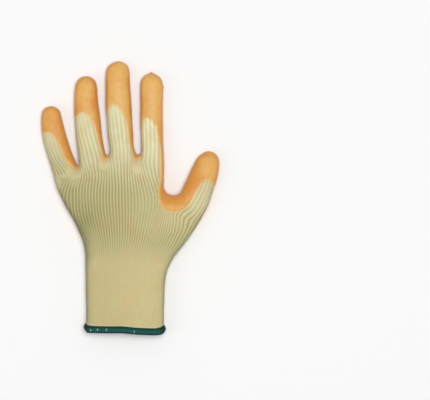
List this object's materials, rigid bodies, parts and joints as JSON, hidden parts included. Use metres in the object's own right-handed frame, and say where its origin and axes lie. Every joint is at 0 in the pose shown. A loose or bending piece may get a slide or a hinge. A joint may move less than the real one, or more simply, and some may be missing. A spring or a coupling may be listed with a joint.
{
  "type": "coated knit work glove",
  "caption": "Left-hand work glove: seamless knitted liner with a long cuff, latex-dipped palm, fingers and thumb, and an overlocked hem round the cuff, lying palm down.",
  "frame": {"origin": "under the middle of the glove's outline, on the surface that it lies on", "axes": "+Y from the cuff to the fingertips, +X towards the thumb, +Z out of the back of the hand"},
  "size_m": [0.1638, 0.25, 0.024],
  "materials": {
    "knit_liner": "undyed cream-yellow cotton and polyester knit",
    "latex_coating": "orange natural latex, semi-gloss with a fine crinkle",
    "cuff_hem": "dark green overlock thread"
  },
  "bodies": {
    "root": {"knit_liner": "knit_liner", "latex_coating": "latex_coating", "cuff_hem": "cuff_hem"}
  },
  "joints": []
}
